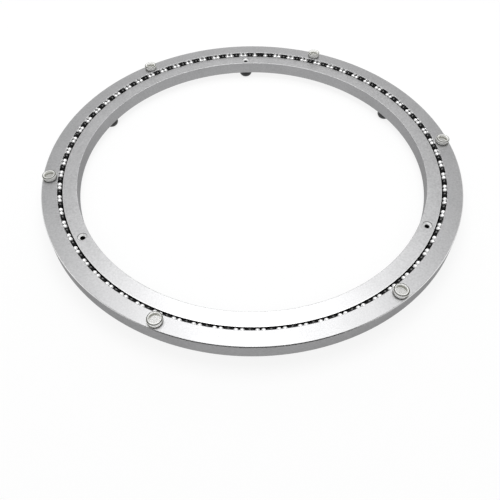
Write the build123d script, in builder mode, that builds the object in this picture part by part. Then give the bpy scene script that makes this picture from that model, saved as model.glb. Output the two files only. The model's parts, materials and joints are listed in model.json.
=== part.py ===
"""Lazy susan bearing: two aluminium rings, a comb cage with paired balls, bumpers and feet.

Millimetres, +Z up. The origin is on the bearing's axis, at the level that the feet stand on.
The inner ring stands still on its feet, and the outer ring turns round it on the balls.
"""

import os
from math import asin, degrees, pi, radians, sin, sqrt, tan

from build123d import *

# Rings
OUTER_DIAMETER = 400.0
OUTER_WIDTH = 14.4
OUTER_HEIGHT = 14.0
RING_GAP = 4.1
INNER_WIDTH = 13.5
INNER_HEIGHT = 13.0
TOP_STEP = 3.0
EDGE_CHAMFER = 0.4

# Balls, the V race in the outer ring, and the cone on the inner ring that the balls rest on
BALL_DIAMETER = 4.5
BALL_OFFSET = 0.95
RACE_ANGLE = 90.0
RACE_CLEARANCE = 0.2
CONE_DROP = 1.45
CONE_WIDTH = 1.7

# Comb cage, a strip bent to a circle
PAIR_COUNT = 69
PAIR_GAP = 0.23
POCKET_CLEARANCE = 0.2
JOINT_ANGLE = 86.9
JOINT_BLOCK_LENGTH = 7.6
JOINT_SLIT = 0.3
RAIL_SIDE_CLEARANCE = 0.3
RAIL_CLEARANCE = 0.3
RAIL_THICKNESS = 1.2
BLOCK_OUTER_CLEARANCE = 0.5
BLOCK_INNER_CLEARANCE = 0.9
BLOCK_DROP = 0.9
HEAD_DROP = 0.9
STEM_INSET = 0.2

# Countersunk screw holes in the inner ring
HOLE_COUNT = 3
HOLE_START = 92.4
HOLE_DIAMETER = 4.5
SINK_DIAMETER = 8.5
SINK_ANGLE = 90.0

# Clear bumpers on the outer ring
BUMPER_COUNT = 6
BUMPER_START = 7.5
BUMPER_INSET = 0.5
BUMPER_HEIGHT = 5.0

# Domed rubber feet under the inner ring, two for each screw hole
FEET_PER_HOLE = 2
FOOT_INSET = 0.1
FOOT_HEIGHT = 7.5
FOOT_WALL = 4.0
FOOT_FLAT_DIAMETER = 7.6
FOOT_BORE_DIAMETER = 3.8

# Radii
outer_radius = OUTER_DIAMETER / 2
gap_outer_radius = outer_radius - OUTER_WIDTH
gap_inner_radius = gap_outer_radius - RING_GAP
inner_radius = gap_inner_radius - INNER_WIDTH
cone_radius = gap_inner_radius + CONE_WIDTH
ball_circle_radius = (gap_outer_radius + gap_inner_radius) / 2 + BALL_OFFSET
outer_mid_radius = outer_radius - OUTER_WIDTH / 2
inner_mid_radius = inner_radius + INNER_WIDTH / 2

# Heights
inner_bottom = FOOT_HEIGHT
inner_top = inner_bottom + INNER_HEIGHT
outer_top = inner_top + TOP_STEP
outer_bottom = outer_top - OUTER_HEIGHT

# The cone and both flanks of the V race clear the balls alike, and the balls' height follows the cone
ball_radius = BALL_DIAMETER / 2
race_flank = radians(RACE_ANGLE / 2)
race_reach = (ball_radius + RACE_CLEARANCE) / sin(race_flank)
race_half = (race_reach - (gap_outer_radius - ball_circle_radius)) * tan(race_flank)
cone_top = inner_top - CONE_DROP
cone_bottom = cone_top - CONE_WIDTH * tan(race_flank)
ball_height = cone_top + (race_reach - (ball_circle_radius - gap_inner_radius)) * tan(race_flank)

# Cage lengths along the ball circle, and the angles that they take up
pair_length = 2 * BALL_DIAMETER + PAIR_GAP + 2 * POCKET_CLEARANCE
single_length = BALL_DIAMETER + 2 * POCKET_CLEARANCE
pockets_length = PAIR_COUNT * pair_length + 2 * single_length
ball_circle_length = 2 * pi * ball_circle_radius
block_length = (ball_circle_length - pockets_length - JOINT_BLOCK_LENGTH) / (PAIR_COUNT + 1)
degrees_per_mm = 360 / ball_circle_length
pitch_angle = (pair_length + block_length) * degrees_per_mm
single_angle = (JOINT_BLOCK_LENGTH + single_length) / 2 * degrees_per_mm
first_pair_angle = single_angle + ((single_length + pair_length) / 2 + block_length) * degrees_per_mm
half_pair_angle = degrees(asin((BALL_DIAMETER + PAIR_GAP) / 2 / ball_circle_radius))

single_angles = [JOINT_ANGLE - single_angle, JOINT_ANGLE + single_angle]
pair_angles = [JOINT_ANGLE + first_pair_angle + k * pitch_angle for k in range(PAIR_COUNT)]
ball_angles = single_angles + [a + s for a in pair_angles for s in (-half_pair_angle, half_pair_angle)]

# Cage section: a rail below the balls, and blocks with a stem on the rail and a head over the cone
rail_inner_radius = cone_radius + RAIL_SIDE_CLEARANCE
rail_outer_radius = gap_outer_radius - RAIL_SIDE_CLEARANCE
rail_top = ball_height - ball_radius - RAIL_CLEARANCE
rail_bottom = rail_top - RAIL_THICKNESS
block_outer_radius = gap_outer_radius - BLOCK_OUTER_CLEARANCE
stem_inner_radius = rail_inner_radius + STEM_INSET
head_inner_radius = gap_inner_radius + BLOCK_INNER_CLEARANCE
head_bottom = ball_height - HEAD_DROP
block_top = outer_top - BLOCK_DROP

# Angles of the blocks, with the joint block in two halves
half_block_length = (JOINT_BLOCK_LENGTH - JOINT_SLIT) / 2
half_block_angle = (half_block_length + JOINT_SLIT) / 2 * degrees_per_mm
half_block_angles = [JOINT_ANGLE - half_block_angle, JOINT_ANGLE + half_block_angle]
first_block_angle = first_pair_angle - pitch_angle / 2
block_angles = [JOINT_ANGLE + first_block_angle + k * pitch_angle for k in range(PAIR_COUNT + 1)]

# Bumpers and feet nearly fill the width of the ring that carries them
bumper_radius = OUTER_WIDTH / 2 - BUMPER_INSET
foot_radius = INNER_WIDTH / 2 - FOOT_INSET
foot_count = FEET_PER_HOLE * HOLE_COUNT

golden_ratio = (1 + sqrt(5)) / 2


def around(radius, angle, height):
    """A level plane at an angle round the bearing's axis, with its X pointing outwards."""
    outwards = Vector(1, 0, 0).rotate(Axis.Z, angle)
    return Plane(origin=outwards * radius + Vector(0, 0, height), x_dir=outwards, z_dir=(0, 0, 1))


def along_circle(radius, angles, height=0):
    """Level planes on a circle at each of the angles."""
    return [around(radius, angle, height) for angle in angles]



def save(builder, name):
    """Label a finished piece and write it to its own file."""
    builder.part.label = name
    export_step(builder.part, f"parts/{name}.step")


os.makedirs("parts", exist_ok=True)

# Outer ring: turns, and carries the bumpers
with BuildPart() as outer_ring:
    with BuildSketch(Plane.XZ):
        with BuildLine():
            Polyline(
                (gap_outer_radius, outer_bottom),
                (outer_radius, outer_bottom),
                (outer_radius, outer_top),
                (gap_outer_radius, outer_top),
                (gap_outer_radius, ball_height + race_half),
                (ball_circle_radius + race_reach, ball_height),
                (gap_outer_radius, ball_height - race_half),
                close=True,
            )
        make_face()
    revolve(axis=Axis.Z)
    chamfer(outer_ring.faces().sort_by(Axis.Z)[-1].edges(), EDGE_CHAMFER)
save(outer_ring, "outer_ring")

# Inner ring: stands still, with its top lower than the outer ring's and a cone under the balls
with BuildPart() as inner_ring:
    with BuildSketch(Plane.XZ):
        with BuildLine():
            Polyline(
                (inner_radius, inner_bottom),
                (cone_radius, inner_bottom),
                (cone_radius, cone_bottom),
                (gap_inner_radius, cone_top),
                (gap_inner_radius, inner_top),
                (inner_radius, inner_top),
                close=True,
            )
        make_face()
    revolve(axis=Axis.Z)
    chamfer(inner_ring.faces().sort_by(Axis.Z)[-1].edges().sort_by(SortBy.LENGTH)[0], EDGE_CHAMFER)
    with Locations(Plane.XY.offset(inner_top)):
        with PolarLocations(inner_mid_radius, HOLE_COUNT, start_angle=HOLE_START):
            CounterSinkHole(HOLE_DIAMETER / 2, SINK_DIAMETER / 2, counter_sink_angle=SINK_ANGLE)
save(inner_ring, "inner_ring")

# Ball cage: a rail below the balls, with blocks that stand up between the pairs
with BuildPart() as ball_cage:
    with BuildSketch(Plane.XY.offset(rail_bottom)):
        Circle(rail_outer_radius)
        Circle(rail_inner_radius, mode=Mode.SUBTRACT)
        with Locations(around(ball_circle_radius, JOINT_ANGLE, 0)):
            Rectangle(2 * RING_GAP, JOINT_SLIT, mode=Mode.SUBTRACT)
    extrude(amount=RAIL_THICKNESS)
    for side_radius, bottom, top in (
        (stem_inner_radius, rail_top, head_bottom),
        (head_inner_radius, head_bottom, block_top),
    ):
        middle_radius = (side_radius + block_outer_radius) / 2
        block_width = block_outer_radius - side_radius
        with BuildSketch(Plane.XY.offset(bottom)):
            with Locations(along_circle(middle_radius, block_angles)):
                Rectangle(block_width, block_length)
            with Locations(along_circle(middle_radius, half_block_angles)):
                Rectangle(block_width, half_block_length)
        extrude(amount=top - bottom)
save(ball_cage, "ball_cage")

# One ball: twenty flat facets, with every corner on the ball's own sphere
with BuildPart() as ball:
    short = ball_radius / sqrt(1 + golden_ratio**2)
    long = short * golden_ratio
    corners = [(0, a, b) for a in (-short, short) for b in (-long, long)]
    corners += [(a, b, 0) for a in (-short, short) for b in (-long, long)]
    corners += [(b, 0, a) for a in (-short, short) for b in (-long, long)]
    ConvexPolyhedron(corners)

# Bearing balls: pairs in the pockets, and one ball each side of the strip's joint
with BuildPart() as bearing_balls:
    with Locations(along_circle(ball_circle_radius, ball_angles, ball_height)):
        add(ball.part)
save(bearing_balls, "bearing_balls")

# Bumpers: stuck on the outer ring's top, midway across it
for number in range(BUMPER_COUNT):
    bumper_angle = BUMPER_START + number * 360 / BUMPER_COUNT
    with BuildPart() as bumper:
        with BuildSketch(around(outer_mid_radius, bumper_angle, outer_top)):
            Circle(bumper_radius)
        extrude(amount=BUMPER_HEIGHT)
    save(bumper, f"bumper_{number + 1}")

# One foot: a dome with a flat to stand on, and a bore that a screw through the ring fills
with BuildPart() as foot:
    with BuildSketch(Plane.XZ):
        with BuildLine():
            Polyline(
                (FOOT_BORE_DIAMETER / 2, 0),
                (foot_radius, 0),
                (foot_radius, -FOOT_WALL),
                (FOOT_FLAT_DIAMETER / 2, -FOOT_HEIGHT),
                (FOOT_BORE_DIAMETER / 2, -FOOT_HEIGHT),
                close=True,
            )
        make_face()
    revolve(axis=Axis.Z)

# Feet: stuck under the inner ring, every second one under a screw hole
with BuildPart() as feet:
    with Locations((0, 0, inner_bottom)):
        with PolarLocations(inner_mid_radius, foot_count, start_angle=HOLE_START):
            add(foot.part)
save(feet, "feet")
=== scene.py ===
"""Looks of a lazy susan bearing, built round its packed model.

The file is laid out as an add-on: sizes and colours are properties, each group of pieces has its own
operator, and a panel lists them. Lengths are in metres, +Z is up, and every piece is made in place.
"""

import json
from math import asin, atan2, cos, pi, radians, sin, tan

import bmesh
import bpy
from bpy.props import FloatProperty, FloatVectorProperty, IntProperty, PointerProperty
from mathutils import Matrix, Quaternion, Vector


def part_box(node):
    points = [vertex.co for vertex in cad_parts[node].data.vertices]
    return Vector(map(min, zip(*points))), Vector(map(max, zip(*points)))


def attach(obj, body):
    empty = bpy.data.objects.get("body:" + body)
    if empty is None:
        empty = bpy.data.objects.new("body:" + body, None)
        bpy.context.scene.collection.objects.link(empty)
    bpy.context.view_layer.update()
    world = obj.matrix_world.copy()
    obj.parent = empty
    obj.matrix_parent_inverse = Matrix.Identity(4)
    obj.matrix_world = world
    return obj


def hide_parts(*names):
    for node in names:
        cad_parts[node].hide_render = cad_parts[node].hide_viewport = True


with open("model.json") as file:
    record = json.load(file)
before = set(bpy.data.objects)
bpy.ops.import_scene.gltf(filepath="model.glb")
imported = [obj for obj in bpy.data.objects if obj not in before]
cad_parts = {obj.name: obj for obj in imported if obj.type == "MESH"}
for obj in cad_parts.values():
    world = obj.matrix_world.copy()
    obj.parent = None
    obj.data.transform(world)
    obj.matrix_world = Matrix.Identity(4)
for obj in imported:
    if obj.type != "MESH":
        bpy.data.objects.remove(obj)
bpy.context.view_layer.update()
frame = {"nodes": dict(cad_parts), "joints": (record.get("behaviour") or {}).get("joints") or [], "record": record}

bl_info = {
    "name": "Lazy susan bearing",
    "version": (1, 0, 0),
    "blender": (4, 5, 0),
    "location": "3D View > Sidebar > Bearing",
    "description": "Turned rings, caged balls, bumpers and feet of a lazy susan bearing",
    "category": "Object",
}

MM = 0.001


def angle_of(mount):
    """A mount's angle round the bearing's axis."""
    return atan2(mount["pos_m"][1], mount["pos_m"][0])


# Places that the packed model gives
MOUNTS = {mount["name"]: mount for mount in frame["record"]["mounts"]}
OUTER_BOTTOM, OUTER_TOP = (corner.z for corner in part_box("outer_ring"))
INNER_BOTTOM, INNER_TOP = (corner.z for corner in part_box("inner_ring"))
CAGE_BOTTOM, CAGE_TOP = (corner.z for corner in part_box("ball_cage"))
BALL_HEIGHT = frame["joints"][0]["pos_m"][2]
BUMPERS = sorted(node for node in frame["nodes"] if node.startswith("bumper_"))
BUMPER_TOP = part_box("bumper_1")[1].z
BUMPER_START = angle_of(MOUNTS["platter_rest"])
SCREWS = MOUNTS["base_screws"]["dims"]
HOLE_RADIUS = SCREWS["hole_r_mm"] * MM
HOLE_CIRCLE = SCREWS["pcd_mm"] / 2 * MM
HOLE_START = angle_of(MOUNTS["feet_rest"])

# Faces and steps of the turned and moulded shapes
EDGE_STEPS = 4
CHAMFER_STEPS = 1
PLUG_FACES = 48
MOULDED_FACES = 64
CROWN_STEPS = 6
NUB_FACES = 12, 6
BALL_DETAIL = 2
RAIL_POINTS = 361
WAIST_STEPS = 6
RIM_STEPS = 8
DOME_STEPS = 16
SHARP_ANGLE = radians(35.0)
TINY = 1e-7

# Mark on the points of a moulding that get a painted highlight
HIGHLIGHT_MARK = "rubbed"

# How fine the noise on each surface is, in waves to the metre, and the values that most noise lies between
BLAST_GRAIN = 600.0
CLOUD_GRAIN = 40.0
CUT_GRAIN = 900.0
OIL_GRAIN = 420.0
PLASTIC_GRAIN = 900.0
RUBBER_GRAIN = 700.0
CLEAR_GRAIN = 150.0
PAPER_GRAIN = 60.0
NOISE_RANGE = 0.3, 0.7

# Where each part of the studio begins and where it is full, as shares of a direction
LOW_FRONT = 0.55, 0.72
LOW_UP = 0.65, 0.5
HIGH_FRONT = 0.2, 0.4
HIGH_UP = 0.6, 0.7
FAR_BACK = 0.78, 0.95
WHITE_UP = 0.3, 0.2
WHITE = 1.0, 1.0, 1.0, 1.0

# Camera
SENSOR_WIDTH = 36.0
CLIP_RANGE = 0.01, 100.0


def offset(name, description, millimetres, **limits):
    """A length property that may be negative, with its default given in millimetres."""
    default = millimetres * MM
    return FloatProperty(
        name=name, description=description, default=default, precision=5, unit="LENGTH", **limits
    )


def length(name, description, millimetres):
    """A length property from zero up, with its default given in millimetres."""
    return offset(name, description, millimetres, min=0.0)


def angle(name, description, degrees):
    """An angle property, with its default given in degrees."""
    return FloatProperty(name=name, description=description, default=radians(degrees), subtype="ANGLE")


def count(name, description, default):
    """A whole number property."""
    return IntProperty(name=name, description=description, default=default, min=1)


def colour(name, description, *rgb):
    """A colour property, as linear red, green and blue."""
    return FloatVectorProperty(
        name=name, description=description, default=rgb, size=3, min=0.0, max=1.0, subtype="COLOR"
    )


def level(name, description, default, most=1.0):
    """A plain number property from zero up."""
    return FloatProperty(name=name, description=description, default=default, min=0.0, max=most)


class RingSizes(bpy.types.PropertyGroup):
    """Sections of the two rings."""

    outer_diameter: length("Outer diameter", "Across the outer ring", 400.0)
    outer_width: length("Outer width", "Width of the outer ring's section", 14.4)
    gap: length("Gap", "Between the two rings", 4.1)
    inner_width: length("Inner width", "Width of the inner ring's section", 13.5)
    edge: length("Edge", "Radius of the top edges", 0.5)
    chamfer: length("Chamfer", "Width of the flat break on the outer ring's top edge", 0.75)
    under_edge: length("Under edge", "Radius of the lower edges and the race's lips", 0.15)
    ball_offset: length("Ball offset", "From the middle of the gap out to the ball circle", 0.95)
    race_angle: angle("Race angle", "Between the two flanks of the V race", 90.0)
    race_clearance: length("Race clearance", "Between a flank and a ball", 0.2)
    race_root: length("Race root", "Radius at the bottom of the V race", 0.6)
    cone_drop: length("Cone drop", "From the inner ring's top down to its cone", 1.45)
    cone_width: length("Cone width", "How far the inner ring's cone reaches out", 1.7)
    sink_diameter: length("Countersink", "Across a countersink at the ring's top", 8.5)
    segments: count("Segments", "Faces round a ring", 360)


class CageSizes(bpy.types.PropertyGroup):
    """Balls, and the comb strip that spaces them."""

    ball_diameter: length("Ball diameter", "Across one ball", 4.5)
    pairs: count("Pairs", "Pockets that hold two balls", 69)
    pair_gap: length("Pair gap", "Between the two balls of a pair", 0.23)
    pocket_clearance: length("Pocket clearance", "Between a ball and a block", 0.2)
    joint_angle: angle("Joint angle", "Where the two ends of the strip meet", 86.9)
    joint_block: length("Joint block", "Length of the block that is split by the joint", 7.6)
    joint_slit: length("Joint slit", "Between the strip's two ends", 0.3)
    rail_side: length("Rail clearance", "Between the rail and each ring", 0.3)
    rail_thickness: length("Rail thickness", "Height of the rail below the balls", 1.2)
    block_outer: length("Block outer clearance", "Between a block and the outer ring", 0.5)
    block_inner: length("Block inner clearance", "Between a block's head and the inner ring", 0.9)
    head_drop: length("Head drop", "From the balls' middle down to the blocks' heads", 0.9)
    stem_inset: length("Stem inset", "From the rail's inner side to a block's stem", 0.2)
    block_edge: length("Block edge", "Radius of the blocks' edges", 0.3)
    crown_along: length("Crown length", "How far along the strip a block's top is rounded", 2.3)
    crown_down: length("Crown drop", "How far down from its top a block is rounded", 1.9)
    block_fall: length("Block fall", "How much lower a block's top is on its inner side", 2.2)
    nub_diameter: length("Nub diameter", "Across the moulded nub on a block", 1.8)
    nub_height: length("Nub height", "Height of the nub above its block", 0.3)


class RestSizes(bpy.types.PropertyGroup):
    """Bumpers on the outer ring and feet under the inner ring."""

    bumper_inset: length("Bumper inset", "From the outer ring's edges to a bumper", 0.5)
    bumper_waist: length("Bumper waist", "How far a bumper's foot draws in under its widest place", 1.9)
    bumper_belly: length("Bumper belly", "Height of a bumper's widest place", 3.4)
    bumper_rim: length("Bumper rim", "From the widest place in to the crest of the rim", 1.3)
    bumper_crest: length("Bumper crest", "From the crest in to the foot of the dish", 1.2)
    bumper_dish: length("Bumper dish", "Depth of the dish inside the rim", 0.8)
    bumper_seat: length("Bumper seat", "Thickness of the film that sticks a bumper down", 0.03)
    feet: count("Feet", "Feet under the inner ring", 6)
    foot_inset: length("Foot inset", "From the inner ring's edges to a foot", 0.1)
    foot_sole: length("Foot sole", "Across the flat that the foot stands on", 7.6)
    foot_bore: length("Foot bore", "Across the hole up the middle", 3.8)
    foot_lip: length("Foot lip", "Width of the break at the hole's lower end", 0.2)
    foot_bulge: length("Foot bulge", "How far the dome stands out from a plain cone", 1.8)


class Finishes(bpy.types.PropertyGroup):
    """Colours and roughness of the materials."""

    outer_metal: colour("Outer metal", "Satin aluminium on the outer ring's top", 0.445, 0.445, 0.45)
    inner_metal: colour("Inner metal", "Satin aluminium on the inner ring's top", 0.50, 0.50, 0.505)
    # Painted shade: the walls of both rings get a darker tone than their tops, for the shade they are in.
    outer_wall_shaded: colour("Outer wall", "Aluminium on the outer ring's walls", 0.375, 0.375, 0.38)
    inner_wall_shaded: colour("Inner wall", "Aluminium on the inner ring's walls", 0.36, 0.36, 0.365)
    edge_metal: colour("Edge metal", "Polished break on the outer ring's top edge", 0.9, 0.9, 0.9)
    lip_metal: colour("Lip metal", "Inner ring's edge beside the gap", 0.62, 0.62, 0.62)
    race_metal: colour("Race metal", "Polished race in the outer ring", 0.92, 0.92, 0.92)
    sink_metal: colour("Countersink metal", "Bright cut metal in the countersinks", 0.95, 0.95, 0.95)
    # Painted shade: a dark ring all round a countersink's brim, standing in for the shadow on the cone's near
    # side.
    sink_brim_shade: colour("Countersink brim", "Dark line where a countersink meets the top", 0.2, 0.2, 0.2)
    edge_width: length("Edge width", "How far a cut edge reaches", 0.62)
    # Painted shade: a near-black tone put in the inner ring's race and down the countersunk holes' bores, where
    # shade falls.
    recess_shade: colour("Race grease", "Dark grease in the races", 0.010, 0.010, 0.011)
    grazing_metal: colour("Grazing metal", "Tint of satin faces that are seen edge on", 0.55, 0.55, 0.55)
    metal_roughness: level("Metal roughness", "Roughness of the satin faces", 0.44)
    edge_roughness: level("Edge roughness", "Roughness of the polished break", 0.18)
    lip_roughness: level("Lip roughness", "Roughness of the inner ring's edge beside the gap", 0.4)
    race_roughness: level("Race roughness", "Roughness of the polished race", 0.25)
    # Roughness of the painted shade in the race and the bores.
    recess_shade_roughness: level("Grease roughness", "Roughness of the grease in the races", 0.4)
    sink_metallic: level("Countersink metallic", "How much the countersinks mirror their surroundings", 0.45)
    ball_steel: colour("Ball steel", "Bright steel of the balls", 0.98, 0.98, 0.98)
    ball_metallic: level("Ball metallic", "How much the balls mirror their surroundings", 0.45)
    cage_black: colour("Cage black", "Black plastic of the cage", 0.005, 0.005, 0.0055)
    # Painted highlight: the grey of the nubs stands in for the glint they catch from above.
    nub_highlight_grey: colour("Nub grey", "Rubbed nubs on the cage's blocks", 0.17, 0.17, 0.17)
    cage_roughness: level("Cage roughness", "Roughness of the cage's plastic", 0.6)
    cage_gloss: level("Cage gloss", "How much light the cage's plastic mirrors", 0.08)
    cage_skin: length("Cage skin", "Depth of the grain that the mould leaves on the cage", 0.02)
    rubber_black: colour("Rubber black", "Black rubber of the feet", 0.007, 0.007, 0.0075)
    rubber_roughness: level("Rubber roughness", "Roughness of the feet", 0.38)
    rubber_gloss: level("Rubber gloss", "How much light the feet mirror", 0.45)
    rubber_skin: length("Rubber skin", "Depth of the grain that the mould leaves on the feet", 0.03)
    clear_tint: colour("Clear tint", "Clear plastic where it lies flat", 0.90, 0.90, 0.82)
    # Painted shade and highlight in the bumpers: the outline, the line and the foot are painted shade, and the rim
    # is a painted highlight.
    clear_outline_shade: colour("Clear outline", "Dark line that a bumper's shoulder shows", 0.07, 0.072, 0.055)
    clear_line: colour("Clear line", "Clear plastic round the foot of a bumper's dish", 0.72, 0.72, 0.66)
    clear_rim_highlight: colour("Clear rim", "Clear plastic along a bumper's rim", 0.95, 0.95, 0.93)
    clear_foot_shade: colour("Clear foot", "Foot of a bumper, where glue shows", 0.06, 0.06, 0.04)


class StageSettings(bpy.types.PropertyGroup):
    """Camera, light and floor."""

    elevation: angle("Elevation", "Height of the camera above the rings' plane", 43.576)
    distance: length("Distance", "From the camera to the middle of the outer ring's top", 535.31)
    aim_side: offset("Aim side", "Aim point to the right", -1.779)
    aim_depth: offset("Aim depth", "Aim point to the back", -59.82)
    roll: angle("Roll", "Turn of the camera about its own axis", -0.311)
    lens: FloatProperty(name="Lens", description="Focal length in millimetres", default=39.293, unit="CAMERA")
    shift: FloatProperty(name="Shift", description="Lens shift up, as a share of the frame", default=-0.09)
    sky: level("Sky", "Brightness of the studio's walls", 0.47, 4.0)
    back_glow: level("Back glow", "How much brighter the studio's back is than its sides", 1.4, 4.0)
    front_glow: level("Front glow", "How much brighter the studio's front is, high up", 0.8, 4.0)
    dim: level("Dim front", "Brightness of the studio's front, low down", 0.02, 4.0)
    softbox: level("Softbox", "Power of the overhead softbox, in watts", 6.8, 1000.0)
    softbox_side: length("Softbox side", "Side of the square softbox", 760.0)
    softbox_height: length("Softbox height", "Height of the softbox over the floor", 1000.0)
    softbox_back: length("Softbox back", "How far the softbox stands behind the bearing", 250.0)
    floor: colour("Floor", "Colour of the plain floor", 0.95, 0.95, 0.95)
    floor_glow: level("Floor glow", "How far the seen floor is lifted towards white", 0.84)
    floor_side: length("Floor side", "Side of the square floor", 8000.0)


class Socket:
    """One output of a node, which can be used in sums."""

    def __init__(self, graph, socket):
        self.graph = graph
        self.socket = socket

    def other(self, name):
        """Another output of the same node."""
        return Socket(self.graph, self.socket.node.outputs[name])

    def __add__(self, value):
        return self.graph.maths("ADD", self, value)

    __radd__ = __add__

    def __sub__(self, value):
        return self.graph.maths("SUBTRACT", self, value)

    def __rsub__(self, value):
        return self.graph.maths("SUBTRACT", value, self)

    def __mul__(self, value):
        return self.graph.maths("MULTIPLY", self, value)

    __rmul__ = __mul__

    def __truediv__(self, value):
        return self.graph.maths("DIVIDE", self, value)

    def __mod__(self, value):
        return self.graph.maths("FLOORED_MODULO", self, value)

    def __pow__(self, value):
        return self.graph.maths("POWER", self, value)

    def __gt__(self, value):
        return self.graph.maths("GREATER_THAN", self, value)

    def __lt__(self, value):
        return self.graph.maths("LESS_THAN", self, value)

    def __abs__(self):
        return self.graph.maths("ABSOLUTE", self)


class Graph:
    """A node tree, and the one way in which nodes are added to it."""

    def __init__(self, tree):
        self.tree = tree
        self.entry = None

    def add(self, kind, sockets=None, output=0, **settings):
        """Add a node: its settings first, then the values or links of its sockets."""
        node = self.tree.nodes.new(kind)
        for name, value in settings.items():
            setattr(node, name, value)
        for name, value in (sockets or {}).items():
            for part in value if isinstance(value, list) else [value]:
                if isinstance(part, Socket):
                    self.tree.links.new(part.socket, node.inputs[name])
                else:
                    node.inputs[name].default_value = part
        return Socket(self, node.outputs[output]) if len(node.outputs) else node

    def maths(self, operation, first, second=0.0):
        """The result of a sum of one or two values."""
        return self.add("ShaderNodeMath", {0: first, 1: second}, operation=operation)

    def split(self, vector):
        """The X, Y and Z of a vector."""
        x = self.add("ShaderNodeSeparateXYZ", {"Vector": vector})
        return x, x.other("Y"), x.other("Z")

    def mix(self, share, first, second):
        """A colour between two colours."""
        return self.add("ShaderNodeMix", {0: share, 6: first, 7: second}, output=2, data_type="RGBA")

    def ramp(self, value, low, high, to_low=0.0, to_high=1.0):
        """A value that runs from one number to another, and stays between them."""
        span = {"From Min": low, "From Max": high, "To Min": to_low, "To Max": to_high}
        return self.add("ShaderNodeMapRange", {"Value": value, **span}, clamp=True)

    def stripe(self, value, middle, core, fade):
        """One within a core each side of a middle value, and nothing beyond the fade."""
        return self.ramp(abs(value - middle), fade, core)

    def noise(self, place, scale, detail=2.0):
        """Soft noise over the surface, about 0.5 in the middle."""
        return self.add("ShaderNodeTexNoise", {"Vector": place, "Scale": scale, "Detail": detail})

    def spread(self, noise, low=0.0, high=1.0):
        """Noise that is stretched to run from one number to another."""
        return self.ramp(noise, *NOISE_RANGE, low, high)

    def bump(self, height, distance, strength):
        """A normal that follows a height."""
        return self.add("ShaderNodeBump", {"Height": height, "Distance": distance, "Strength": strength})

    def surface(self, sockets):
        """The shader and the output that a piece's material ends in."""
        shader = self.add("ShaderNodeBsdfPrincipled", sockets)
        self.add("ShaderNodeOutputMaterial", {"Surface": shader})

    def take(self, name, kind):
        """A named input of a geometry tree."""
        if self.entry is None:
            self.entry = self.add("NodeGroupInput")
        self.tree.interface.new_socket(name, in_out="INPUT", socket_type="NodeSocket" + kind)
        return self.entry.other(name)

    def shape_of(self, thing):
        """The geometry of an object that a tree takes."""
        return self.add("GeometryNodeObjectInfo", {"Object": thing}, output="Geometry")

    def give(self, geometry, material):
        """End a geometry tree with real faces and their material."""
        self.tree.interface.new_socket("Geometry", in_out="OUTPUT", socket_type="NodeSocketGeometry")
        real = self.add("GeometryNodeRealizeInstances", {"Geometry": geometry})
        painted = self.add("GeometryNodeSetMaterial", {"Geometry": real, "Material": material})
        self.add("NodeGroupOutput", {"Geometry": painted})
        return self.tree


def rgba(rgb, share=1.0):
    """A colour with full alpha, or a share of it."""
    return (*(part * share for part in rgb), 1.0)


def new_material(name, paint, *values):
    """A material whose nodes are added by a paint function."""
    material = bpy.data.materials.new(name)
    material.use_nodes = True
    material.node_tree.nodes.clear()
    paint(Graph(material.node_tree), *values)
    return material


def object_place(graph):
    """Where a point is on its object."""
    return graph.add("ShaderNodeTexCoord", output="Object")


def upward(graph):
    """How far a surface faces up: 1 on a level top, and 0 on a wall."""
    return graph.split(graph.add("ShaderNodeNewGeometry", output="Normal"))[2]


def across(x, y):
    """The length of a level vector."""
    return (x * x + y * y) ** 0.5


def satin_aluminium(graph, finishes, face, wall, cut_edge, stretch):
    """Bead-blasted aluminium, with walls painted darker as shade, one cut edge, and one stretch of another finish.

    The edge is a radius and a height, the stretch is two radii and two heights, and each has its tone and
    its roughness after that.
    """
    top_facing, wall_facing = 0.75, 0.35
    blast_shade, cloud_shade, rough_range = 0.11, 0.03, 0.05
    blast_depth, blast_strength = 0.04 * MM, 0.35
    place = object_place(graph)
    x, y, z = graph.split(place)
    radius = across(x, y)
    blast = graph.noise(place, BLAST_GRAIN, detail=4.0)
    cloud = graph.noise(place, CLOUD_GRAIN)
    upright = graph.ramp(abs(upward(graph)), top_facing, wall_facing)
    # Walls take the darker tone, as painted shade.
    tone = graph.mix(upright, rgba(face), rgba(wall))
    shade = graph.spread(blast, -blast_shade, blast_shade) + graph.spread(cloud, -cloud_shade, cloud_shade)
    tone = graph.add("ShaderNodeHueSaturation", {"Value": shade + 1.0, "Color": tone})
    plain = finishes.metal_roughness
    rough = graph.spread(blast, plain - rough_range, plain + rough_range)
    edge_radius, edge_top, *edge_finish = cut_edge
    on_edge = (abs(radius - edge_radius) < finishes.edge_width) * (z > edge_top - finishes.edge_width)
    inside, outside, bottom, top, *stretch_finish = stretch
    on_stretch = (radius > inside) * (radius < outside) * (z > bottom) * (z < top)
    for mask, (other_tone, other_rough) in ((on_edge, edge_finish), (on_stretch, stretch_finish)):
        tone = graph.mix(mask, tone, rgba(other_tone))
        rough = rough * (1.0 - mask) + mask * other_rough
    sockets = {
        "Base Color": tone,
        "Metallic": 1.0,
        "Roughness": rough,
        "Normal": graph.bump(blast, blast_depth, blast_strength),
        "Specular Tint": rgba(finishes.grazing_metal),
    }
    graph.surface(sockets)


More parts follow.
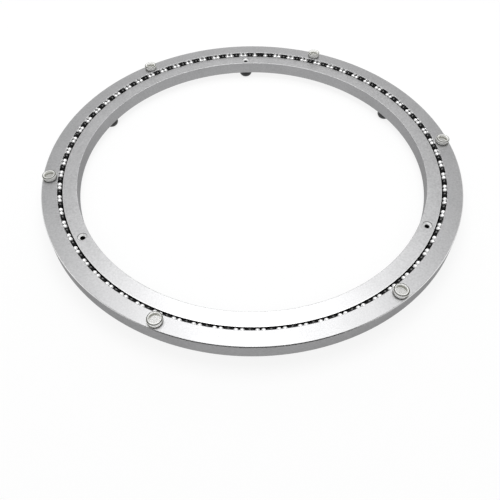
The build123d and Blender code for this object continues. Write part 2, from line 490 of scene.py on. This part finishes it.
def cut_aluminium(graph, finishes, deep):
    """Bright metal that a countersink left, with a painted shade line at its brim and painted shade down the hole
    below its depth.
    """
    dull, smooth, rough = 0.9, 0.3, 0.4
    brim_end, brim_full = 0.6 * MM, 0.3 * MM
    place = object_place(graph)
    height = graph.split(place)[2]
    ring = graph.noise(place, CUT_GRAIN)
    tone = graph.mix(graph.spread(ring), rgba(finishes.sink_metal), rgba(finishes.sink_metal, dull))
    # The brim gets the painted shade line.
    brim = graph.ramp(height, INNER_TOP - brim_end, INNER_TOP - brim_full)
    tone = graph.mix(brim, tone, rgba(finishes.sink_brim_shade))
    sockets = {
        # Below the countersink's depth the bore is painted near black, as painted shade in the hole.
        "Base Color": graph.mix(height < INNER_TOP - deep, tone, rgba(finishes.recess_shade)),
        "Metallic": finishes.sink_metallic,
        "Roughness": graph.spread(ring, smooth, rough),
    }
    graph.surface(sockets)


def polished_steel(graph, finishes):
    """Bright ball steel under a thin, uneven film of oil."""
    film_start, film_full = 0.45, 0.75
    dull, smooth, rough = 0.92, 0.16, 0.26
    oil = graph.noise(object_place(graph), OIL_GRAIN)
    film = graph.ramp(oil, film_start, film_full)
    sockets = {
        "Base Color": graph.mix(film, rgba(finishes.ball_steel), rgba(finishes.ball_steel, dull)),
        "Metallic": finishes.ball_metallic,
        "Roughness": graph.spread(oil, smooth, rough),
    }
    graph.surface(sockets)


def moulded_black(graph, black, rubbed, roughness, gloss, grain, depth):
    """Black plastic or rubber with the fine skin of its mould, and a painted pale highlight where a mark says so.
    """
    pale_start, pale_full, pale = 0.3, 0.75, 1.8
    rough_range, polish, strength = 0.06, 0.35, 0.4
    skin = graph.noise(object_place(graph), grain, detail=3.0)
    # Marked points take the painted highlight colour.
    highlit = graph.add("ShaderNodeAttribute", output="Fac", attribute_name=HIGHLIGHT_MARK)
    tone = graph.mix(graph.ramp(skin, pale_start, pale_full), rgba(black), rgba(black, pale))
    rough = graph.spread(skin, roughness - rough_range, roughness + rough_range)
    sockets = {
        "Base Color": graph.mix(highlit, tone, rgba(rubbed)),
        "Roughness": rough * (1.0 - highlit * polish),
        "Normal": graph.bump(skin, depth, strength),
        "Specular IOR Level": gloss,
    }
    graph.surface(sockets)


def clear_soft(graph, finishes, circle, wide):
    """Clear soft plastic, in bumpers on a circle: a painted shade outline, a painted highlight band, a painted
    shade line, a clear dish and wall, and painted shade at the foot.
    """
    outline_inset, outline_core, outline_fade = 0.85 * MM, 0.35 * MM, 0.5 * MM
    line_inset, line_core, line_fade = 2.5 * MM, 0.15 * MM, 0.3 * MM
    band_start, band_full = 2.4 * MM, 2.1 * MM
    foot_shade_full, foot_shade_end = 1.0 * MM, 1.6 * MM
    seat_end, seat_full = 0.1 * MM, 0.2 * MM
    thin, thick, smooth, rough = 0.18, 0.24, 0.06, 0.12
    wall_facing, top_facing = 0.05, 0.3
    place = object_place(graph)
    x, y, z = graph.split(place)
    skin = graph.noise(place, CLEAR_GRAIN, detail=1.0)
    pitch = 2 * pi / len(BUMPERS)
    turn = (graph.maths("ARCTAN2", y, x) - BUMPER_START + pitch / 2) % pitch - pitch / 2
    reach = across(x, y)
    side = reach * graph.maths("SINE", turn)
    out = reach * graph.maths("COSINE", turn) - circle
    away = across(side, out)
    above = graph.ramp(upward(graph), wall_facing, top_facing)
    outline = graph.stripe(away, wide - outline_inset, outline_core, outline_fade) * above
    line = graph.stripe(away, wide - line_inset, line_core, line_fade) * above
    band = graph.ramp(away, wide - band_start, wide - band_full) * above
    # The bumper's foot gets painted shade near its base.
    foot = graph.ramp(z, OUTER_TOP + foot_shade_end, OUTER_TOP + foot_shade_full)
    # Where each layer shows, its tone, and how much denser it is than the clear plastic: the band is a painted
    # highlight, and the line, the outline and the foot are painted shade
    layers = (
        (band, finishes.clear_rim_highlight, 0.45),
        (line, finishes.clear_line, 0.3),
        (outline, finishes.clear_outline_shade, 0.3),
        (foot, finishes.clear_foot_shade, 0.7),
    )
    tone = rgba(finishes.clear_tint)
    dense = graph.spread(skin, thin, thick)
    for mask, layer_tone, layer_dense in layers:
        tone = graph.mix(mask, tone, rgba(layer_tone))
        dense = dense + mask * layer_dense
    sockets = {
        "Base Color": tone,
        "Roughness": graph.spread(skin, smooth, rough),
        "Alpha": dense * graph.ramp(z, OUTER_TOP + seat_end, OUTER_TOP + seat_full),
        "IOR": 1.45,
    }
    graph.surface(sockets)


def white_paper(graph, stage):
    """Plain paper that looks nearly white wherever it is seen, and keeps a soft shadow."""
    dull, rough = 0.99, 0.9
    fibre = graph.noise(object_place(graph), PAPER_GRAIN)
    tone = graph.mix(graph.spread(fibre), rgba(stage.floor), rgba(stage.floor, dull))
    paper = graph.add("ShaderNodeBsdfPrincipled", {"Base Color": tone, "Roughness": rough})
    white = graph.add("ShaderNodeEmission", {"Color": WHITE, "Strength": 1.0})
    path = graph.add("ShaderNodeLightPath", output="Is Camera Ray")
    seen = path + path.other("Is Glossy Ray") + path.other("Is Transmission Ray")
    share = graph.ramp(seen, 0.0, 1.0, 0.0, stage.floor_glow)
    both = graph.add("ShaderNodeMixShader", {0: share, 1: paper, 2: white})
    graph.add("ShaderNodeOutputMaterial", {"Surface": both})


def rounded_loop(corners, margin):
    """A closed outline of (radius, height, corner radius, steps), with a close point each side of an arc."""
    outline = []
    for k, (*point, bend, steps) in enumerate(corners):
        here = Vector(point)
        back = (Vector(corners[k - 1][:2]) - here).normalized()
        ahead = (Vector(corners[(k + 1) % len(corners)][:2]) - here).normalized()
        half = back.angle(ahead) / 2
        reach = bend / tan(half)
        centre = here + (back + ahead).normalized() * bend / sin(half)
        first = here + back * reach - centre
        turn = first.angle_signed(here + ahead * reach - centre)
        outline.append(here + back * (reach + margin))
        for step in range(steps + 1):
            share = -turn * step / steps
            outline.append(centre + Vector((
                first.x * cos(share) - first.y * sin(share),
                first.x * sin(share) + first.y * cos(share),
            )))
        outline.append(here + ahead * (reach + margin))
    return outline


def lathe(name, outline, segments, closed=False):
    """A mesh turned about +Z from (radius, height) points. A point on the axis becomes a pole."""
    shape = bmesh.new()
    rings = []
    for radius, height in outline:
        turns = segments if radius > TINY else 1
        rings.append([
            shape.verts.new((radius * cos(2 * pi * k / turns), radius * sin(2 * pi * k / turns), height))
            for k in range(turns)
        ])
    for lower, upper in zip(rings, rings[1:] + rings[:1] if closed else rings[1:]):
        for k in range(segments):
            corners = [lower[k % len(lower)], lower[(k + 1) % len(lower)]]
            corners += [upper[(k + 1) % len(upper)], upper[k % len(upper)]]
            shape.faces.new(list(dict.fromkeys(corners)))
    bmesh.ops.recalc_face_normals(shape, faces=shape.faces)
    return finish_mesh(name, shape)


def finish_mesh(name, shape):
    """The mesh of a shape that is done."""
    mesh = bpy.data.meshes.new(name)
    shape.to_mesh(mesh)
    shape.free()
    return mesh


def arc(centre, radius, start, end, steps):
    """Points on an arc, from one angle to another."""
    turns = [start + (end - start) * k / steps for k in range(steps + 1)]
    return [(centre[0] + radius * cos(turn), centre[1] + radius * sin(turn)) for turn in turns]


def quarter(level_end, steep_end, steps):
    """Points on a quarter of an ellipse, level where it starts and upright where it ends."""
    wide, high = steep_end[0] - level_end[0], steep_end[1] - level_end[1]
    turns = [pi / 2 * k / steps for k in range(steps + 1)]
    return [(level_end[0] + wide * sin(turn), level_end[1] + high * (1 - cos(turn))) for turn in turns]


def bulge(start, end, rise, steps):
    """Points on an arc from one place to another, which stands out to the left of the way by a rise."""
    half = (end - start) / 2
    out = Vector((-half.y, half.x)).normalized()
    radius = (half.length_squared + rise**2) / (2 * rise)
    centre = start + half + out * (rise - radius)
    first = start - centre
    sweep = 2 * asin(half.length / radius)
    turn = atan2(first.y, first.x)
    return arc(centre, radius, turn, turn - sweep, steps)


def carrier(name, data):
    """An object in the scene for a mesh, a light or a camera."""
    thing = bpy.data.objects.new(name, data)
    bpy.context.scene.collection.objects.link(thing)
    return thing


def settle(thing, name):
    """The plain mesh that a passing object's modifiers make. The object goes."""
    graph = bpy.context.evaluated_depsgraph_get()
    mesh = bpy.data.meshes.new_from_object(thing.evaluated_get(graph), depsgraph=graph)
    mesh.name = name
    bpy.data.objects.remove(thing)
    return mesh


def grow(tree, values, name):
    """The plain mesh that a geometry tree makes from named values."""
    thing = carrier(name, bpy.data.meshes.new(name))
    nodes = thing.modifiers.new("Shape", "NODES")
    nodes.node_group = tree
    for item in tree.interface.items_tree:
        if item.in_out == "INPUT":
            nodes[item.identifier] = values[item.name]
    return settle(thing, name)


def place_piece(name, mesh, body, slot, *nodes):
    """A finished piece, on its body and in the place of its nodes."""
    mesh.polygons.foreach_set("use_smooth", [True] * len(mesh.polygons))
    mesh.set_sharp_from_angle(angle=SHARP_ANGLE)
    piece = carrier(name, mesh)
    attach(piece, body)
    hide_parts(*nodes)


def set_at(graph, instance, number, turn, radius, height):
    """Add nodes that set an instance at each point's own angle round the axis, turned to face outwards."""
    x = graph.maths("COSINE", turn) * radius
    y = graph.maths("SINE", turn) * radius
    place = graph.add("ShaderNodeCombineXYZ", {"X": x, "Y": y, "Z": height})
    facing = graph.add("ShaderNodeCombineXYZ", {"Z": turn})
    line = graph.add("GeometryNodeMeshLine", {"Count": number})
    points = graph.add("GeometryNodeSetPosition", {"Geometry": line, "Position": place})
    sockets = {"Points": points, "Instance": instance, "Rotation": facing}
    return graph.add("GeometryNodeInstanceOnPoints", sockets)


def set_round(graph, instance, number, start, pitch, radius, height):
    """Add nodes that set an instance out evenly round the axis."""
    turn = graph.add("GeometryNodeInputIndex") * pitch + start
    return set_at(graph, instance, number, turn, radius, height)


def round_tree():
    """A tree that sets one piece out evenly round the bearing's axis."""
    graph = Graph(bpy.data.node_groups.new("Pieces round the axis", "GeometryNodeTree"))
    shape = graph.shape_of(graph.take("Piece", "Object"))
    number = graph.take("Count", "Int")
    names = ("Start", "Pitch", "Radius", "Height")
    start, pitch, radius, height = (graph.take(name, "Float") for name in names)
    pieces = set_round(graph, shape, number, start, pitch, radius, height)
    return graph.give(pieces, graph.take("Material", "Material"))


def set_out(name, mesh, number, start, radius, height, material):
    """One mesh of like pieces, set out evenly round the bearing's axis."""
    piece = carrier("one_of_" + name, mesh)
    values = {
        "Piece": piece,
        "Count": number,
        "Start": start,
        "Pitch": 2 * pi / number,
        "Radius": radius,
        "Height": height,
        "Material": material,
    }
    pieces = grow(round_tree(), values, name)
    bpy.data.objects.remove(piece)
    return pieces


def ball_tree():
    """A tree that sets balls in pairs along their circle, with one each side of the strip's joint."""
    graph = Graph(bpy.data.node_groups.new("Balls in pairs", "GeometryNodeTree"))
    pairs = graph.take("Pairs", "Int")
    names = ("Ball radius", "Circle radius", "Height", "Joint", "Single", "First pair", "Pitch", "Half pair")
    ball, radius, height, joint, single, first, pitch, half = (graph.take(name, "Float") for name in names)
    index = graph.add("GeometryNodeInputIndex")
    parity = index % 2.0
    side = parity * 2.0 - 1.0
    pocket = (index - parity) / 2.0 - 1.0
    lone = index < 2.0
    turn = joint + lone * side * single + (1.0 - lone) * (first + pocket * pitch + side * half)
    shape = graph.add("GeometryNodeMeshIcoSphere", {"Radius": ball, "Subdivisions": BALL_DETAIL})
    balls = set_at(graph, shape, pairs * 2.0 + 2.0, turn, radius, height)
    return graph.give(balls, graph.take("Material", "Material"))


def comb_block(name, storeys, long, edge, nub):
    """A block of the comb at angle zero: storeys one on the other, and a nub on top.

    A storey is an inner and an outer radius, a bottom and a top, how far its top falls to its inner side,
    and how far along the strip and how far down its ends are rounded. A nub is a width and a height.
    """
    shape = bmesh.new()
    rubbed = shape.verts.layers.float.new(HIGHLIGHT_MARK)
    for inside, outside, bottom, top, fall, along, down in storeys:
        crown = quarter((long / 2 - along, top), (long / 2, top - down), CROWN_STEPS)
        end = [(long / 2, bottom)] + crown[::-1]
        outline = end + [(-side, height) for side, height in reversed(end)]
        share = 1.0 - fall / (top - bottom)
        lower = [(side, bottom + (height - bottom) * share) for side, height in outline]
        near = [shape.verts.new((inside, *point)) for point in lower]
        far = [shape.verts.new((outside, *point)) for point in outline]
        shape.faces.new(near)
        shape.faces.new(far)
        for k in range(len(outline)):
            shape.faces.new((near[k - 1], near[k], far[k], far[k - 1]))
    bmesh.ops.recalc_face_normals(shape, faces=shape.faces)
    rims = [line for line in shape.edges if abs(line.verts[0].co.x - line.verts[1].co.x) < TINY]
    bmesh.ops.bevel(
        shape, geom=rims, offset=edge, segments=2, profile=0.5, affect="EDGES", clamp_overlap=True
    )
    if nub:
        wide, high = nub
        round_faces, rows = NUB_FACES
        place = Matrix.Translation(((inside + outside) / 2, 0.0, top - fall / 2))
        tilt = Matrix.Rotation(-atan2(fall, outside - inside), 4, "Y")
        size = Matrix.Diagonal((wide, wide, 2 * high, 1.0))
        dome = bmesh.ops.create_uvsphere(
            shape, u_segments=round_faces, v_segments=rows, radius=0.5, matrix=place @ tilt @ size
        )
        # The nub's points are marked for the painted highlight.
        for point in dome["verts"]:
            point[rubbed] = 1.0
    return carrier(name, finish_mesh(name, shape))


def cage_tree():
    """A tree for the comb strip: a rail open at its joint, blocks with a nub each, and two half blocks."""
    graph = Graph(bpy.data.node_groups.new("Comb strip", "GeometryNodeTree"))
    blocks = graph.take("Blocks", "Int")
    whole, half = graph.take("Block", "Object"), graph.take("Half", "Object")
    names = ("Joint", "Slit", "Pitch", "First block", "Half block")
    names += ("Rail radius", "Rail width", "Rail thickness", "Rail middle")
    size = {name: graph.take(name, "Float") for name in names}
    path_sockets = {
        "Resolution": RAIL_POINTS,
        "Radius": size["Rail radius"],
        "Start Angle": size["Joint"] + size["Slit"] / 2.0,
        "Sweep Angle": 2.0 * pi - size["Slit"],
    }
    path = graph.add("GeometryNodeCurveArc", path_sockets, mode="RADIUS")
    section_sockets = {"Width": size["Rail width"], "Height": size["Rail thickness"]}
    section = graph.add("GeometryNodeCurvePrimitiveQuadrilateral", section_sockets)
    rail_sockets = {"Curve": path, "Profile Curve": section, "Fill Caps": True}
    rail = graph.add("GeometryNodeCurveToMesh", rail_sockets)
    lift = graph.add("ShaderNodeCombineXYZ", {"Z": size["Rail middle"]})
    parts = [graph.add("GeometryNodeTransform", {"Geometry": rail, "Translation": lift})]
    runs = (
        (whole, blocks, size["Joint"] + size["First block"], size["Pitch"]),
        (half, 2, size["Joint"] - size["Half block"], size["Half block"] * 2.0),
    )
    for piece, number, start, pitch in runs:
        parts.append(set_round(graph, graph.shape_of(piece), number, start, pitch, 0.0, 0.0))
    joined = graph.add("GeometryNodeJoinGeometry", {"Geometry": parts})
    return graph.give(joined, graph.take("Material", "Material"))


def radii(sizes):
    """The rings' radii: outside, both sides of the gap, and the bore."""
    outside = sizes.outer_diameter / 2
    gap_outer = outside - sizes.outer_width
    gap_inner = gap_outer - sizes.gap
    return outside, gap_outer, gap_inner, gap_inner - sizes.inner_width


def ball_circle(sizes):
    """The radius of the circle that the balls run on."""
    gap_outer, gap_inner = radii(sizes)[1:3]
    return (gap_outer + gap_inner) / 2 + sizes.ball_offset


def strip_layout(rings, cage):
    """Angles and lengths of the strip along the ball circle, from its joint."""
    circle = ball_circle(rings)
    pair = 2 * cage.ball_diameter + cage.pair_gap + 2 * cage.pocket_clearance
    single = cage.ball_diameter + 2 * cage.pocket_clearance
    blocks = cage.pairs + 1
    block = (2 * pi * circle - cage.pairs * pair - 2 * single - cage.joint_block) / blocks
    pitch = (pair + block) / circle
    lone = (cage.joint_block + single) / 2 / circle
    first_pair = lone + ((single + pair) / 2 + block) / circle
    return {
        "circle": circle,
        "block": block,
        "blocks": blocks,
        "pitch": pitch,
        "lone": lone,
        "first_pair": first_pair,
        "first_block": first_pair - pitch / 2,
        "half_pair": asin((cage.ball_diameter + cage.pair_gap) / 2 / circle),
    }


class LAZYSUSAN_OT_rings(bpy.types.Operator):
    """Turn the two rings, with their race, rounded edges and countersunk holes"""

    bl_idname = "lazysusan.rings"
    bl_label = "Rings"

    def execute(self, context):
        sizes, finishes = context.scene.susan_rings, context.scene.susan_finishes
        self.outer(sizes, finishes, context.scene.susan_cage.ball_diameter / 2)
        self.inner(sizes, finishes)
        return {"FINISHED"}

    def outer(self, sizes, finishes, ball_radius):
        """The outer ring, with the V race that holds the balls."""
        outside, gap_outer = radii(sizes)[:2]
        circle = ball_circle(sizes)
        flank = sizes.race_angle / 2
        reach = (ball_radius + sizes.race_clearance) / sin(flank)
        mouth = (reach - gap_outer + circle) * tan(flank)
        under = sizes.under_edge
        lip = under / 2
        margin = lip / 2
        corners = [
            (gap_outer, OUTER_BOTTOM, under, EDGE_STEPS),
            (outside, OUTER_BOTTOM, under, EDGE_STEPS),
            (outside, OUTER_TOP, sizes.chamfer, CHAMFER_STEPS),
            (gap_outer, OUTER_TOP, sizes.edge, EDGE_STEPS),
            (gap_outer, BALL_HEIGHT + mouth, lip, EDGE_STEPS),
            (circle + reach, BALL_HEIGHT, sizes.race_root, EDGE_STEPS),
            (gap_outer, BALL_HEIGHT - mouth, lip, EDGE_STEPS),
        ]
        mesh = lathe("turned_outer_ring", rounded_loop(corners, margin), sizes.segments, closed=True)
        tones = finishes.outer_metal, finishes.outer_wall_shaded
        cut_edge = outside, OUTER_TOP, finishes.edge_metal, finishes.edge_roughness
        race = gap_outer - margin, circle + reach + margin, OUTER_BOTTOM, OUTER_TOP - sizes.edge
        race += finishes.race_metal, finishes.race_roughness
        metal = new_material("outer_aluminium", satin_aluminium, finishes, *tones, cut_edge, race)
        mesh.materials.append(metal)
        place_piece("turned_outer_ring", mesh, "rotor", "aluminium", "outer_ring")

    def inner(self, sizes, finishes):
        """The inner ring, with the cone that the balls rest on and its countersunk holes."""
        gap_inner, bore = radii(sizes)[2:]
        cone_top = INNER_TOP - sizes.cone_drop
        cone_bottom = cone_top - sizes.cone_width * tan(sizes.race_angle / 2)
        cone_radius = gap_inner + sizes.cone_width
        under = sizes.under_edge
        margin = under / 4
        corners = [
            (bore, INNER_BOTTOM, under, EDGE_STEPS),
            (cone_radius, INNER_BOTTOM, under, EDGE_STEPS),
            (cone_radius, cone_bottom, under, EDGE_STEPS),
            (gap_inner, cone_top, under, EDGE_STEPS),
            (gap_inner, INNER_TOP, under, EDGE_STEPS),
            (bore, INNER_TOP, sizes.edge, EDGE_STEPS),
        ]
        mesh = lathe("turned_inner_ring", rounded_loop(corners, margin), sizes.segments, closed=True)
        tones = finishes.inner_metal, finishes.inner_wall_shaded
        cut_edge = gap_inner, INNER_TOP, finishes.lip_metal, finishes.lip_roughness
        # The cone's stretch gets the near-black painted shade, for the shade in the race beside the gap.
        cone = gap_inner - margin, cone_radius + margin, INNER_BOTTOM, INNER_TOP - 2 * under
        cone += finishes.recess_shade, finishes.recess_shade_roughness
        metal = new_material("inner_aluminium", satin_aluminium, finishes, *tones, cut_edge, cone)
        mesh.materials.append(metal)
        ring = carrier("ring_blank", mesh)
        cutter = carrier("sinks", self.sinks(sizes.sink_diameter / 2, finishes))
        cut = ring.modifiers.new("Sinks", "BOOLEAN")
        cut.object = cutter
        cut.solver = "EXACT"
        cut.material_mode = "TRANSFER"
        mesh = settle(ring, "turned_inner_ring")
        bpy.data.objects.remove(cutter)
        place_piece("turned_inner_ring", mesh, "base", "aluminium", "inner_ring")

    def sinks(self, sink, finishes):
        """The countersunk holes as solid plugs, ready to be cut out of the ring."""
        deep = sink - HOLE_RADIUS
        past = MM
        below = INNER_BOTTOM - INNER_TOP - past
        outline = [(0.0, below), (HOLE_RADIUS, below), (HOLE_RADIUS, -deep)]
        outline += [(sink, 0.0), (sink, past), (0.0, past)]
        metal = new_material("cut_aluminium", cut_aluminium, finishes, deep)
        plug = lathe("plug", outline, PLUG_FACES)
        return set_out("sinks", plug, SCREWS["count"], HOLE_START, HOLE_CIRCLE, INNER_TOP, metal)


class LAZYSUSAN_OT_balls(bpy.types.Operator):
    """Set the steel balls in pairs along the race"""

    bl_idname = "lazysusan.balls"
    bl_label = "Balls"

    def execute(self, context):
        cage = context.scene.susan_cage
        strip = strip_layout(context.scene.susan_rings, cage)
        values = {
            "Pairs": cage.pairs,
            "Ball radius": cage.ball_diameter / 2,
            "Circle radius": strip["circle"],
            "Height": BALL_HEIGHT,
            "Joint": cage.joint_angle,
            "Single": strip["lone"],
            "First pair": strip["first_pair"],
            "Pitch": strip["pitch"],
            "Half pair": strip["half_pair"],
            "Material": new_material("ball_steel", polished_steel, context.scene.susan_finishes),
        }
        mesh = grow(ball_tree(), values, "steel_balls")
        place_piece("steel_balls", mesh, "cage", "ball_steel", "bearing_balls")
        return {"FINISHED"}


class LAZYSUSAN_OT_cage(bpy.types.Operator):
    """Mould the comb strip that spaces the balls"""

    bl_idname = "lazysusan.cage"
    bl_label = "Cage"

    def execute(self, context):
        rings, cage = context.scene.susan_rings, context.scene.susan_cage
        finishes = context.scene.susan_finishes
        strip = strip_layout(rings, cage)
        gap_outer, gap_inner = radii(rings)[1:3]
        rail_in = gap_inner + rings.cone_width + cage.rail_side
        rail_out = gap_outer - cage.rail_side
        stem_in = rail_in + cage.stem_inset
        head_in = gap_inner + cage.block_inner
        block_out = gap_outer - cage.block_outer
        rail_top = CAGE_BOTTOM + cage.rail_thickness
        head_bottom = BALL_HEIGHT - cage.head_drop
        half_length = (cage.joint_block - cage.joint_slit) / 2
        edge, crown = cage.block_edge, (cage.crown_along, cage.crown_down)
        stem = stem_in, block_out, rail_top - edge, head_bottom + edge, 0.0, edge, edge
        head = head_in, block_out, head_bottom, CAGE_TOP, cage.block_fall
        nub = cage.nub_diameter, cage.nub_height
        block = comb_block("block", [stem, head + crown], strip["block"], edge, nub)
        half = comb_block("half_block", [stem, head + (edge, edge)], half_length, edge, None)
        tones = finishes.cage_black, finishes.nub_highlight_grey
        skin = finishes.cage_roughness, finishes.cage_gloss, PLASTIC_GRAIN, finishes.cage_skin
        plastic = new_material("cage_plastic", moulded_black, *tones, *skin)
        values = {
            "Blocks": strip["blocks"],
            "Block": block,
            "Half": half,
            "Joint": cage.joint_angle,
            "Slit": cage.joint_slit / strip["circle"],
            "Pitch": strip["pitch"],
            "First block": strip["first_block"],
            "Half block": (half_length + cage.joint_slit) / 2 / strip["circle"],
            "Rail radius": (rail_in + rail_out) / 2,
            "Rail width": rail_out - rail_in,
            "Rail thickness": cage.rail_thickness,
            "Rail middle": CAGE_BOTTOM + cage.rail_thickness / 2,
            "Material": plastic,
        }
        mesh = grow(cage_tree(), values, "comb_cage")
        bpy.data.objects.remove(block)
        bpy.data.objects.remove(half)
        place_piece("comb_cage", mesh, "cage", "cage_plastic", "ball_cage")
        return {"FINISHED"}


class LAZYSUSAN_OT_bumpers(bpy.types.Operator):
    """Mould the clear bumpers that a platter rests on"""

    bl_idname = "lazysusan.bumpers"
    bl_label = "Bumpers"

    def execute(self, context):
        rings, rests = context.scene.susan_rings, context.scene.susan_rests
        circle = rings.outer_diameter / 2 - rings.outer_width / 2
        wide = rings.outer_width / 2 - rests.bumper_inset
        high, belly = BUMPER_TOP - OUTER_TOP, rests.bumper_belly
        seat, floor = rests.bumper_seat, high - rests.bumper_dish
        foot, crest = wide - rests.bumper_waist, wide - rests.bumper_rim
        dish = crest - rests.bumper_crest
        outline = [(0.0, seat)]
        outline += quarter((foot, seat), (wide, belly), WAIST_STEPS)
        outline += quarter((crest, high), (wide, belly), RIM_STEPS)[::-1][1:]
        outline += quarter((crest, high), (dish, floor), RIM_STEPS)[1:]
        outline += [(0.0, floor)]
        bumper = lathe("bumper", outline, MOULDED_FACES)
        finishes = context.scene.susan_finishes
        clear = new_material("clear_bumper", clear_soft, finishes, circle, wide)
        mesh = set_out("clear_bumpers", bumper, len(BUMPERS), BUMPER_START, circle, OUTER_TOP, clear)
        place_piece("clear_bumpers", mesh, "rotor", "clear_bumper", *BUMPERS)
        return {"FINISHED"}


class LAZYSUSAN_OT_feet(bpy.types.Operator):
    """Mould the domed rubber feet"""

    bl_idname = "lazysusan.feet"
    bl_label = "Feet"

    def execute(self, context):
        rings, rests = context.scene.susan_rings, context.scene.susan_rests
        finishes = context.scene.susan_finishes
        bore, lip = rests.foot_bore / 2, rests.foot_lip
        top = Vector((rings.inner_width / 2 - rests.foot_inset, 0.0))
        end = Vector((rests.foot_sole / 2, -INNER_BOTTOM))
        outline = [(bore, 0.0)] + bulge(top, end, rests.foot_bulge, DOME_STEPS)
        outline += [(bore + lip, -INNER_BOTTOM), (bore, lip - INNER_BOTTOM)]
        foot = lathe("foot", outline, MOULDED_FACES, closed=True)
        tones = finishes.rubber_black, finishes.rubber_black
        skin = finishes.rubber_roughness, finishes.rubber_gloss, RUBBER_GRAIN, finishes.rubber_skin
        rubber = new_material("foot_rubber", moulded_black, *tones, *skin)
        mesh = set_out("rubber_feet", foot, rests.feet, HOLE_START, HOLE_CIRCLE, INNER_BOTTOM, rubber)
        place_piece("rubber_feet", mesh, "base", "foot_rubber", "feet")
        return {"FINISHED"}


class LAZYSUSAN_OT_stage(bpy.types.Operator):
    """Set the camera, the soft light and the plain floor"""

    bl_idname = "lazysusan.stage"
    bl_label = "Stage"

    def execute(self, context):
        stage = context.scene.susan_stage
        context.scene.view_settings.view_transform = "Standard"
        self.camera(context.scene, stage)
        self.studio(context.scene, stage)
        self.softbox(stage)
        self.floor(stage)
        return {"FINISHED"}

    def camera(self, scene, stage):
        """The camera, aimed a little in front of the middle of the ring."""
        lens = bpy.data.cameras.new("Camera")
        lens.lens = stage.lens
        lens.sensor_width = SENSOR_WIDTH
        lens.shift_y = stage.shift
        lens.clip_start, lens.clip_end = CLIP_RANGE
        camera = carrier("Camera", lens)
        back = Vector((0.0, -cos(stage.elevation), sin(stage.elevation)))
        camera.location = Vector((0.0, 0.0, OUTER_TOP)) + back * stage.distance
        aim = Vector((stage.aim_side, stage.aim_depth, OUTER_TOP))
        turn = (aim - camera.location).to_track_quat("-Z", "Y")
        camera.rotation_mode = "QUATERNION"
        camera.rotation_quaternion = turn @ Quaternion((0.0, 0.0, 1.0), stage.roll)
        scene.camera = camera

    def studio(self, scene, stage):
        """Walls with a bright back and a dim front, which look white where they are seen."""
        scene.world = bpy.data.worlds.new("Studio")
        scene.world.use_nodes = True
        scene.world.node_tree.nodes.clear()
        graph = Graph(scene.world.node_tree)
        back, up = graph.split(graph.add("ShaderNodeTexCoord", output="Generated"))[1:]
        front = back * -1.0
        low = graph.ramp(front, *LOW_FRONT) * graph.ramp(up, *LOW_UP)
        high = graph.ramp(front, *HIGH_FRONT) * graph.ramp(up, *HIGH_UP)
        far = graph.ramp(back, *FAR_BACK)
        walls = far * stage.back_glow + high * stage.front_glow - low * (stage.sky - stage.dim) + stage.sky
        path = graph.add("ShaderNodeLightPath", output="Is Camera Ray")
        mirrored = path.other("Is Glossy Ray") + path.other("Is Transmission Ray")
        seen = graph.ramp(path + mirrored * graph.ramp(up, *WHITE_UP), 0.0, 1.0)
        strength = walls * (1.0 - seen) + seen
        glow = graph.add("ShaderNodeBackground", {"Color": WHITE, "Strength": strength})
        graph.add("ShaderNodeOutputWorld", {"Surface": glow})

    def softbox(self, stage):
        """One large square light overhead."""
        lamp = bpy.data.lights.new("Softbox", "AREA")
        lamp.shape = "SQUARE"
        lamp.size = stage.softbox_side
        lamp.energy = stage.softbox
        softbox = carrier("Softbox", lamp)
        softbox.location = (0.0, stage.softbox_back, stage.softbox_height)

    def floor(self, stage):
        """A large plain floor under the feet."""
        half = stage.floor_side / 2
        corners = [(-half, -half, 0), (half, -half, 0), (half, half, 0), (-half, half, 0)]
        mesh = bpy.data.meshes.new("Floor")
        mesh.from_pydata(corners, [], [(0, 1, 2, 3)])
        mesh.materials.append(new_material("floor_paper", white_paper, stage))
        carrier("Floor", mesh)


class LAZYSUSAN_PT_panel(bpy.types.Panel):
    """Sizes, colours and pieces of the bearing"""

    bl_idname = "LAZYSUSAN_PT_panel"
    bl_label = "Lazy susan bearing"
    bl_space_type = "VIEW_3D"
    bl_region_type = "UI"
    bl_category = "Bearing"

    def draw(self, context):
        for operator in OPERATORS:
            self.layout.operator(operator.bl_idname)
        for name, group in GROUPS.items():
            box = self.layout.box()
            box.label(text=group.__doc__)
            for key in group.__annotations__:
                box.prop(getattr(context.scene, name), key)


GROUPS = {
    "susan_rings": RingSizes,
    "susan_cage": CageSizes,
    "susan_rests": RestSizes,
    "susan_finishes": Finishes,
    "susan_stage": StageSettings,
}
OPERATORS = (
    LAZYSUSAN_OT_rings,
    LAZYSUSAN_OT_balls,
    LAZYSUSAN_OT_cage,
    LAZYSUSAN_OT_bumpers,
    LAZYSUSAN_OT_feet,
    LAZYSUSAN_OT_stage,
)


def register():
    for cls in (*GROUPS.values(), *OPERATORS, LAZYSUSAN_PT_panel):
        bpy.utils.register_class(cls)
    for name, group in GROUPS.items():
        setattr(bpy.types.Scene, name, PointerProperty(type=group))


def unregister():
    for name in GROUPS:
        delattr(bpy.types.Scene, name)
    for cls in reversed((*GROUPS.values(), *OPERATORS, LAZYSUSAN_PT_panel)):
        bpy.utils.unregister_class(cls)


def main():
    """Build every piece in order."""
    register()
    bpy.ops.lazysusan.rings()
    bpy.ops.lazysusan.balls()
    bpy.ops.lazysusan.cage()
    bpy.ops.lazysusan.bumpers()
    bpy.ops.lazysusan.feet()
    bpy.ops.lazysusan.stage()


if __name__ == "__main__":
    main()
